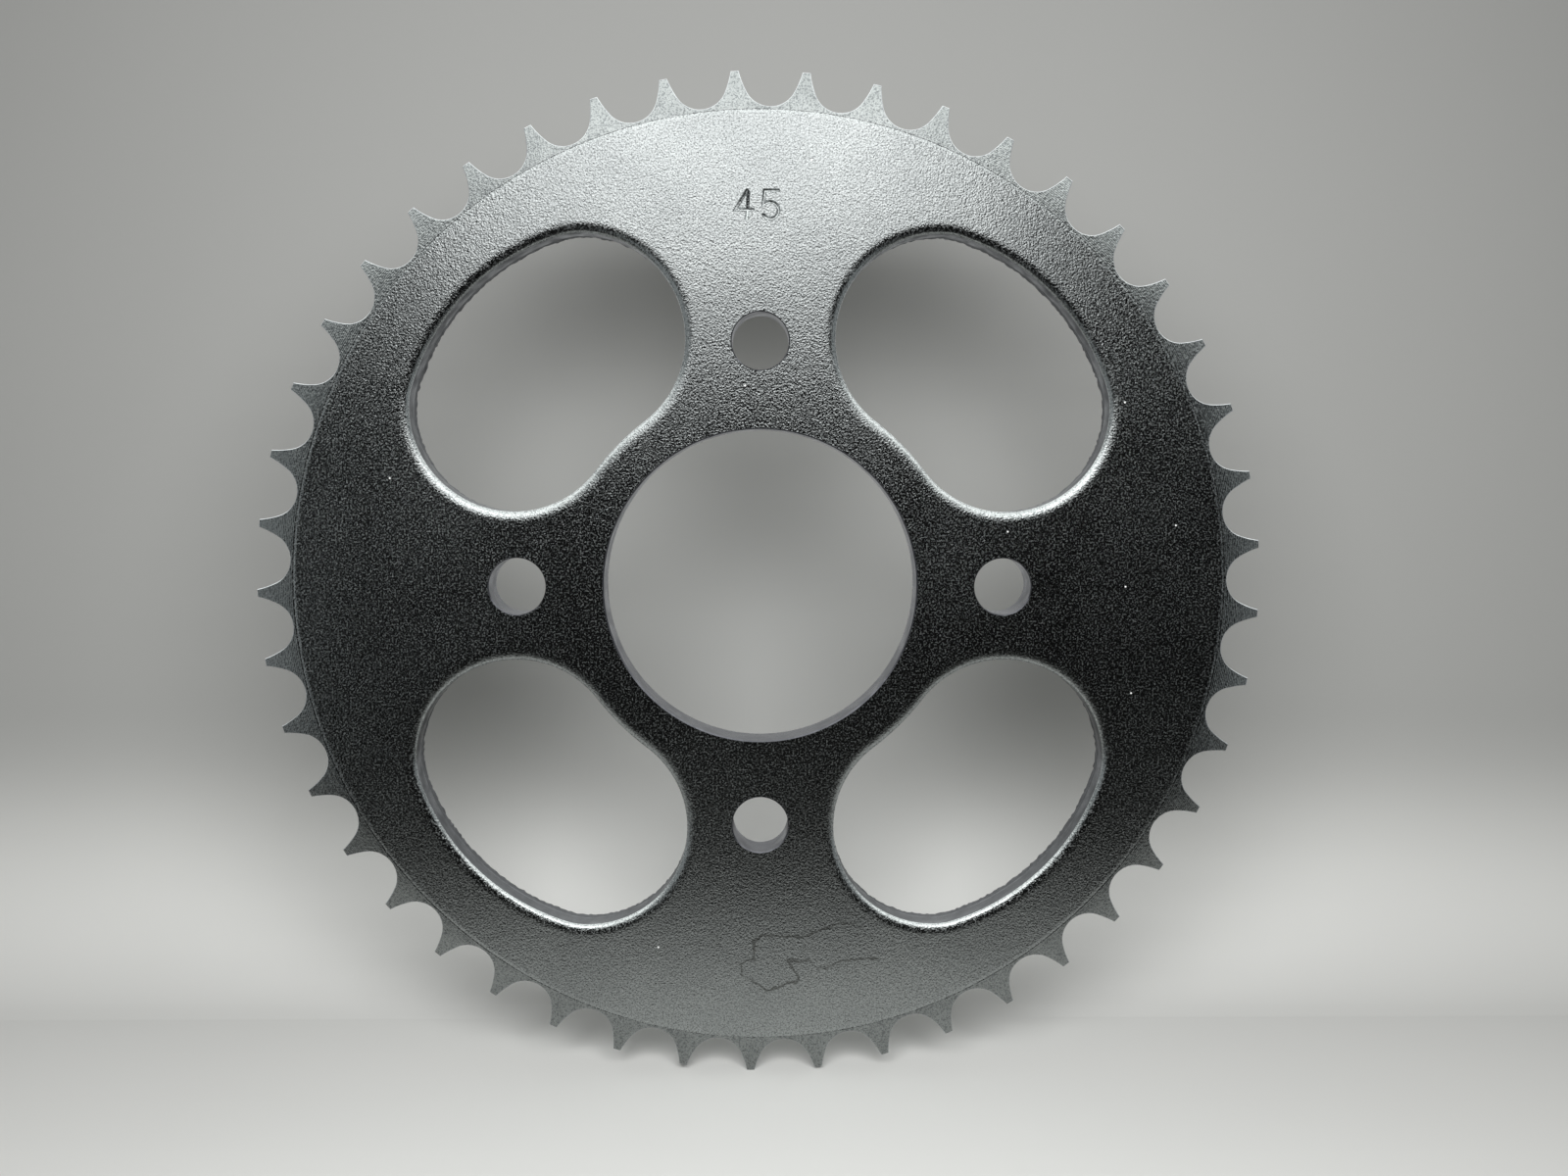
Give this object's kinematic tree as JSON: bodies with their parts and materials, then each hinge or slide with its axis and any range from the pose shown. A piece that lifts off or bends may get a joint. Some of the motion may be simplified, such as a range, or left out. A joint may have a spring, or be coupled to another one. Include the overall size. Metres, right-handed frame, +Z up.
{
  "type": "motorcycle rear sprocket",
  "caption": "Flat steel chain sprocket with slim relieved teeth, a large centre bore, a ring of bolt holes and rounded lightening windows.",
  "frame": {"origin": "on the bore's axis, at half the plate's thickness", "axes": "+Y along the spin axis, out of the hub-side face; the numbered outer face looks toward -Y; +Z up through the bolt hole under the number; +X toward the viewer's right when looking at the numbered face"},
  "size_m": [0.1867, 0.0074, 0.1867],
  "materials": {
    "zinc_plated_steel": "satin zinc plating with a fine orange-peel grain, smoother turned tooth sides"
  },
  "bodies": {
    "root": {"sprocket_plate": "zinc_plated_steel"}
  },
  "joints": []
}
